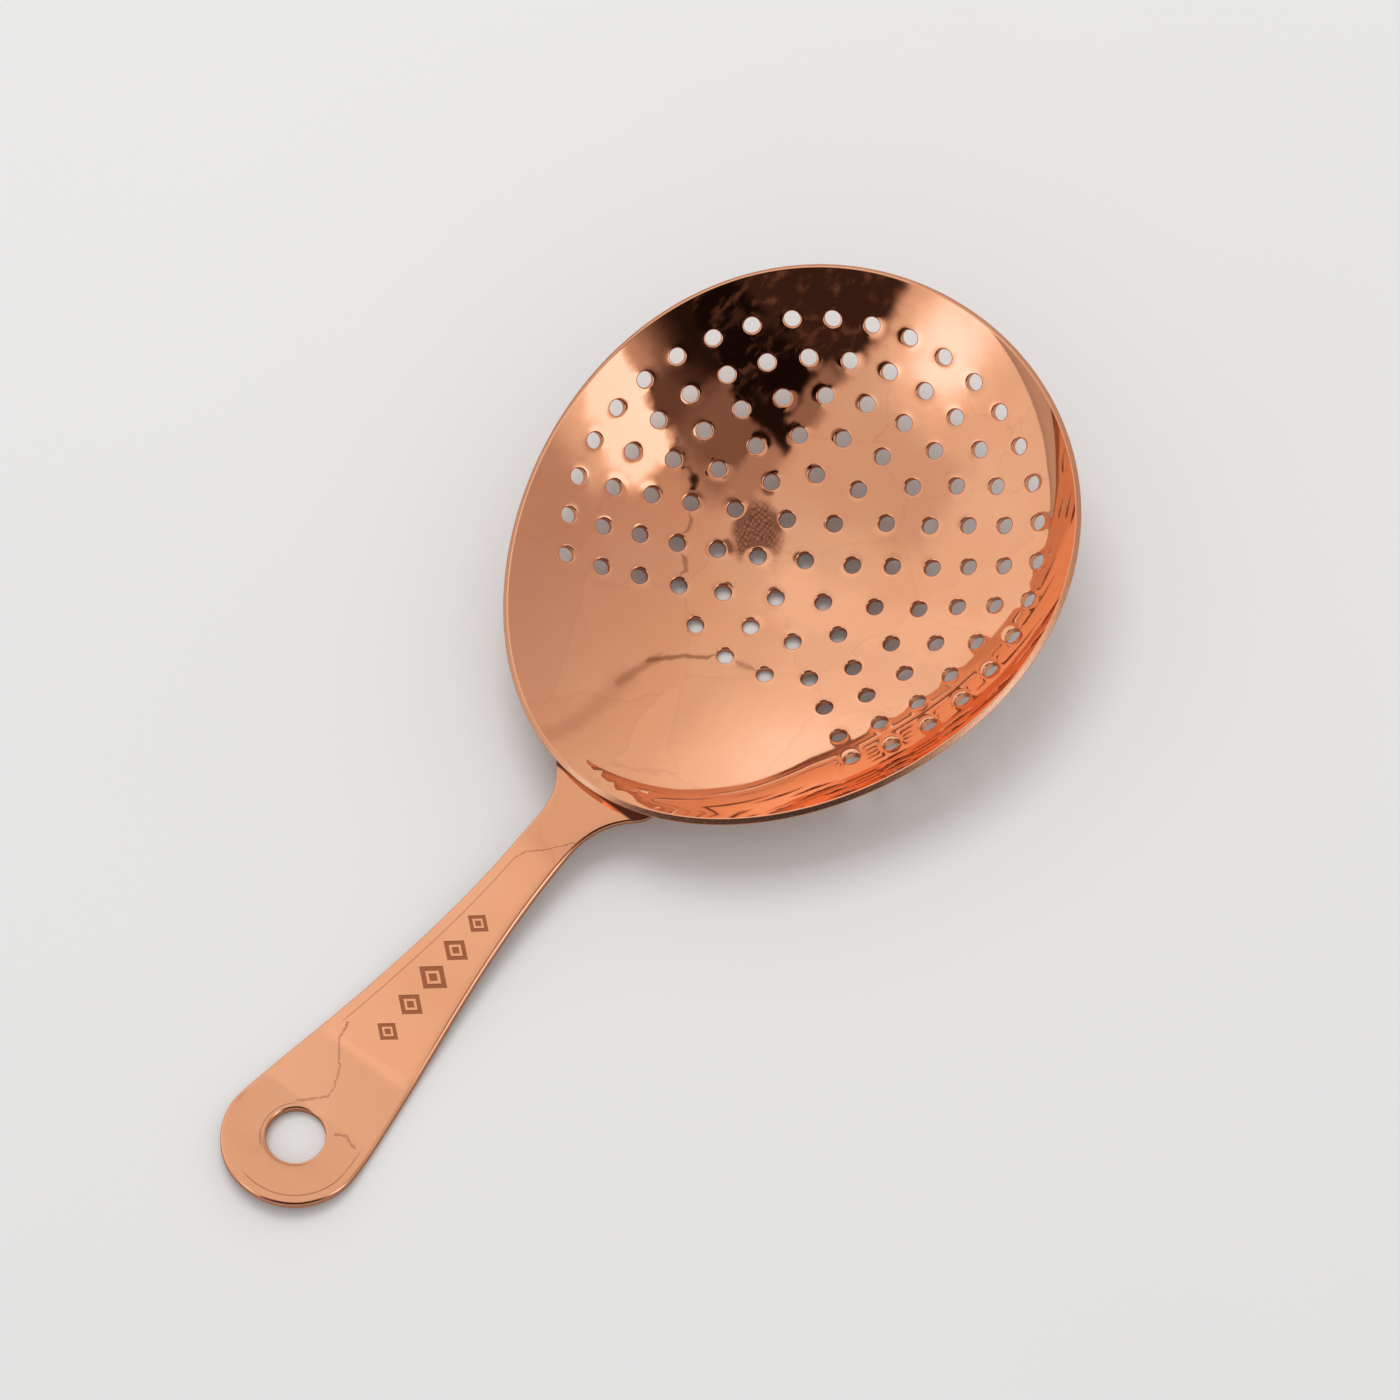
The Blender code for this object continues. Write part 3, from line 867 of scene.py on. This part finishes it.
def handle_piece():
    return Sheet(handle_mid, STRAP, crown=handle_crown, plan=handle_plan).build(
        "handle_strap_visual", handle_copper(), handle_outline(HANDLE_ROUND), [(EYE_X, 0.0)],
        EYE, spacing=0.9, top_round=HANDLE_ROUND, low_round=0.22)


# ---------------------------------------------------------------- welds
WELD_X, WELD_Y = -39.4, 4.4
WELD_RADIUS, WELD_HALF_THICK = 1.8, 0.15
WELD_SEGMENTS, WELD_ROWS = 40, 9


def weld_metal(name):
    material, graph, bsdf = new_material(name)
    coord = graph.value("TexCoord", "Object")
    blotch = graph.noise(coord, scale=900.0, detail=4.0, rough=0.6)
    grain = graph.noise(coord, scale=3500.0, detail=3.0, rough=0.6)
    set_surface(
        graph, bsdf, Metallic=1.0,
        Base_Color=graph.colour(blotch.ramp(0.35, 0.7), (0.30, 0.22, 0.18), (0.55, 0.40, 0.33)),
        Roughness=0.38 + grain * 0.25,
        Normal=graph.bump(blotch + grain * 0.4, distance=0.03 * MM))
    return material


def nugget_piece(name, x, y, phase):
    """A squeezed lens of fused metal between tang and bowl, with a lobed outline."""
    material = weld_metal(name + "_metal")
    normal, first, second = surface_axes(bowl_mid, x, y)
    base = raised(bowl_mid, np.array(x), np.array(y), -(SHEET / 2 + TANG_GAP / 2))
    turn = turns(WELD_SEGMENTS)
    lobes = 1 + 0.05 * np.sin(3 * turn + phase) + 0.03 * np.sin(7 * turn + 2 * phase)
    points, faces = [base + normal * WELD_HALF_THICK], []
    for k in range(1, WELD_ROWS):
        polar = math.pi * k / WELD_ROWS
        radius = WELD_RADIUS * math.sin(polar) ** 0.45
        for angle, lobe in zip(turn, lobes):
            ray = first * math.cos(angle) + second * math.sin(angle)
            points.append(base + ray * radius * lobe
                          + normal * WELD_HALF_THICK * math.cos(polar))
    points.append(base - normal * WELD_HALF_THICK)
    last = 1 + (WELD_ROWS - 2) * WELD_SEGMENTS
    for i in range(WELD_SEGMENTS):
        j = (i + 1) % WELD_SEGMENTS
        faces.append((0, 1 + i, 1 + j))
        for start in range(1, last, WELD_SEGMENTS):
            below = start + WELD_SEGMENTS
            faces.append((start + i, below + i, below + j, start + j))
        faces.append((last + i, len(points) - 1, last + j))
    return add_object(name, np.array(points), faces, material)


# ---------------------------------------------------------------- floor
def add_floor():
    bpy.ops.mesh.primitive_grid_add(x_subdivisions=8, y_subdivisions=8, size=9.0,
                                    location=(0, 0, -0.00003))
    obj = bpy.context.object
    obj.name = "floor"
    material, graph, bsdf = new_material("pale_floor")
    cloud = graph.noise(graph.value("TexCoord", "Object"), scale=7.0, detail=3.0, rough=0.5)
    pale = graph.colour(cloud, (0.70, 0.695, 0.69), (0.735, 0.73, 0.725))
    # the metal mirrors a darker counter than the one in view
    mirrored = graph.value("LightPath", "Is Glossy Ray")
    set_surface(graph, bsdf, Base_Color=graph.colour(mirrored, pale, (0.46, 0.34, 0.275)),
                Roughness=0.75, Specular_IOR_Level=0.25)
    obj.data.materials.append(material)


# ---------------------------------------------------------------- room
# Seams and cords seen by the metal: start, end, half width, softness, strength
SEAMS = (
    ((0.39, 0.44), (0.45, 0.24), 0.010, 0.5, 0.6),
    ((0.45, 0.24), (0.56, 0.06), 0.010, 0.5, 0.6),
    ((0.55, 0.07), (0.66, 0.05), 0.026, 0.9, 0.36),
    ((0.64, 0.055), (1.2, 0.04), 0.060, 0.95, 0.17),
    ((0.33, -0.03), (0.24, -0.14), 0.010, 0.5, 0.5),
    ((0.24, -0.14), (0.13, -0.19), 0.010, 0.5, 0.5),
    ((0.05, -0.27), (0.00, -0.45), 0.012, 0.5, 0.6),
)


class Room:
    """Brightness of a pale room over the X and Y of the view direction, slightly wobbled."""

    def __init__(self, graph, direction):
        self.graph, self.direction = graph, direction
        wide = graph.split(graph.noise(direction, scale=3.0, detail=2.0, output="Color"))
        fine = graph.split(graph.noise(direction, scale=13.0, detail=3.0, rough=0.6,
                                       output="Color"))
        plain_x, plain_y, self.z = graph.split(direction)
        self.x = plain_x + ((wide[0] - 0.5) * 0.12 + (fine[0] - 0.5) * 0.05)
        self.y = plain_y + ((wide[1] - 0.5) * 0.12 + (fine[1] - 0.5) * 0.05)
        self.seam_x = plain_x + (fine[0] - 0.5) * 0.03
        self.seam_y = plain_y + (fine[1] - 0.5) * 0.03
        # brighter towards +Y
        self.level = self.y.ramp(-0.65, 0.75, before=0.52, after=0.86)

    def paint(self, mask, level):
        self.level = self.graph.mix(mask, self.level, level)

    def box(self, x_range, y_range, soft):
        return self.x.between(*x_range, soft) * self.y.between(*y_range, soft)

    def blob(self, x, y, radius, soft):
        distance = self.graph.math("SQRT", (self.x - x) ** 2.0 + (self.y - y) ** 2.0)
        return distance.ramp(radius + soft, radius - soft)

    def cells(self, output, **settings):
        inputs = {"Vector": self.graph.join(self.x, self.y, 0.0), "Scale": 2.6}
        return self.graph.value("TexVoronoi", output, inputs, voronoi_dimensions="2D",
                                **settings)

    def bright_walls(self):
        """Soft areas, then loose panels with thin joins, then two bright patches."""
        x, y = self.x, self.y
        self.paint(self.box((0.02, 0.23), (0.22, 1.2), soft=0.055), 0.93)
        self.paint(self.box((0.23, 1.2), (0.20, 1.2), soft=0.055),
                   y.ramp(0.30, 0.55, before=0.76, after=0.88))
        self.paint(self.box((-0.62, -0.17), (0.10, 0.60), soft=0.07), 0.68)
        self.paint(self.blob(0.62, 0.72, radius=0.20, soft=0.18), 1.08)
        shade = self.graph.split(self.cells("Color"))[0]
        joins = self.cells("Distance", feature="DISTANCE_TO_EDGE")
        self.level = self.level * (0.965 + shade * 0.06)
        self.level = self.level * (1.0 - joins.ramp(0.010, 0.002) * 0.10)
        self.paint(self.blob(-0.88, 0.27, radius=0.14, soft=0.14), 1.34)
        self.paint(x.ramp(0.50, 0.28) * y.ramp(-0.45, -0.65), 0.88)
        self.paint(self.box((-0.02, 0.28), (-1.2, -0.42), soft=0.05), 1.28)

    def dim_side(self):
        """The dim part towards -X and -Y, and its near-black folds."""
        x, y, graph = self.x, self.y, self.graph
        dim = y.ramp(-0.15, -0.09, before=0.21, after=0.42)
        dim = graph.mix(x.ramp(-0.34, -0.40), dim, 0.28)
        low = (x.ramp(-0.34, -0.10, before=0.015, after=0.13)
               + (y.ramp(-0.68, -0.85) * x.ramp(-0.25, 0.02)) * 0.5)
        dim = graph.mix(y.ramp(-0.42, -0.56), dim, low)
        self.paint(x.ramp(0.14, -0.03) * (y.ramp(-0.06, -0.16) * y.ramp(-0.46, -0.38)), 0.30)
        self.paint(x.ramp(0.03, -0.05) * y.ramp(0.03, -0.03), dim)
        folds = graph.noise(graph.scaled(self.direction, (4.0, 11.0, 5.0)), scale=1.6,
                            detail=3.0, rough=0.6)
        night = 0.007 + folds.ramp(0.50, 0.72) * 0.08
        self.paint((x + y * -0.22).ramp(-0.20, -0.25) * y.ramp(-0.09, -0.13), night)
        self.paint(x.ramp(-0.60, -0.68) * y.ramp(0.05, -0.02), 0.03 + night)
        self.paint(self.box((-0.36, -0.26), (-0.30, 0.00), soft=0.015), 0.012)

    def lamp_head(self):
        """A dark disc overhead with a fine lattice."""
        lattice = (abs(self.graph.math("SINE", self.x * 190.0))
                   * abs(self.graph.math("SINE", self.y * 190.0)))
        self.paint(self.blob(0.03, 0.07, radius=0.11, soft=0.028), 0.10 + lattice * 0.30)

    def seams(self):
        for start, end, width, soft, strength in SEAMS:
            distance = self.graph.segment_distance(self.seam_x, self.seam_y, start, end)
            self.paint(distance.ramp(width, width * (1 - soft)) * strength, 0.12)
        self.paint(self.blob(0.05, -0.26, radius=0.022, soft=0.012), 0.03)
        self.paint(self.blob(-0.08, -0.34, radius=0.030, soft=0.012), 0.05)

    def tinted(self):
        """The level with a tint that goes from red in the dark to white in the brightest."""
        graph, level = self.graph, self.level
        tint = graph.colour(level.ramp(0.50, 0.78), (1.0, 0.69, 0.54), (1.0, 0.80, 0.64))
        tint = graph.colour(level.ramp(0.92, 1.26), tint, (1.0, 1.0, 1.0))
        tint = graph.colour(level.ramp(0.35, 0.02), tint, (1.0, 0.52, 0.38))
        return graph.colour(1.0, tint, graph.join(level, level, level), blend="MULTIPLY")


def add_world():
    """Mirrors see the room; the camera and diffuse light see plain greys."""
    world = bpy.data.worlds.new("studio")
    bpy.context.scene.world = world
    world.use_nodes = True
    world.node_tree.nodes.clear()
    graph = Graph(world.node_tree)
    room = Room(graph, graph.value("TexCoord", "Generated"))
    room.bright_walls()
    room.dim_side()
    room.lamp_head()
    room.seams()
    room.paint(room.z.ramp(0.0, -0.02), 0.55)       # below the horizon
    pattern = room.tinted()
    path = graph.node("LightPath")
    plain = graph.colour(Value(graph, path.outputs["Is Camera Ray"]),
                         (0.80, 0.80, 0.80), (0.61, 0.608, 0.605))
    colour = graph.colour(Value(graph, path.outputs["Is Glossy Ray"]), plain, pattern)
    background = graph.value("Background", 0, {"Color": colour, "Strength": 1.0})
    graph.node("OutputWorld", {0: background})


def add_lamp():
    place, size = Vector((0.25, 0.35, 0.95)), 0.55
    data = bpy.data.lights.new("overhead_soft", "AREA")
    data.shape = "RECTANGLE"
    data.size = data.size_y = size
    data.energy = 4.0
    lamp = bpy.data.objects.new("overhead_soft", data)
    bpy.context.scene.collection.objects.link(lamp)
    lamp.location = place
    lamp.rotation_euler = (-place).to_track_quat("-Z", "Y").to_euler()
    lamp.visible_glossy = False
    lamp.visible_camera = False


# ---------------------------------------------------------------- camera
AZIMUTH, ELEVATION, ROLL = -0.8974, 1.1207, 0.0015      # radians
DISTANCE, SLIDE_RIGHT, SLIDE_UP = 623.45, -11.499, -22.760
LENS = 110.8791575


def add_camera():
    back = np.array([math.sin(AZIMUTH) * math.cos(ELEVATION),
                     -math.cos(AZIMUTH) * math.cos(ELEVATION), math.sin(ELEVATION)])
    level = np.array([math.cos(AZIMUTH), math.sin(AZIMUTH), 0.0])
    upright = np.cross(back, level)
    right = math.cos(ROLL) * level + math.sin(ROLL) * upright
    above = -math.sin(ROLL) * level + math.cos(ROLL) * upright
    place = (ORIGIN + DISTANCE * back + SLIDE_RIGHT * right + SLIDE_UP * above) * MM
    data = bpy.data.cameras.new("camera")
    data.sensor_width = 36.0
    data.lens = LENS
    data.clip_start, data.clip_end = 0.02, 30.0
    camera = bpy.data.objects.new("camera", data)
    bpy.context.scene.collection.objects.link(camera)
    turn = Matrix(np.stack([right, above, back], 1).tolist()).to_4x4()
    camera.matrix_world = Matrix.Translation(Vector(place)) @ turn
    bpy.context.scene.camera = camera


# ---------------------------------------------------------------- assembly
def register(obj, part):
    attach(obj, "root")
    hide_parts(part)


register(bowl_piece(), "perforated_bowl")
register(handle_piece(), "handle_strap")
for side, weld_y, phase in (("left", WELD_Y, 0.4), ("right", -WELD_Y, 2.1)):
    nugget = nugget_piece(f"weld_{side}_visual", WELD_X, weld_y, phase)
    register(nugget, f"weld_nugget_{side}")

add_floor()
add_world()
add_lamp()
add_camera()
bpy.context.scene.view_settings.view_transform = "Standard"
bpy.context.scene.view_settings.look = "None"
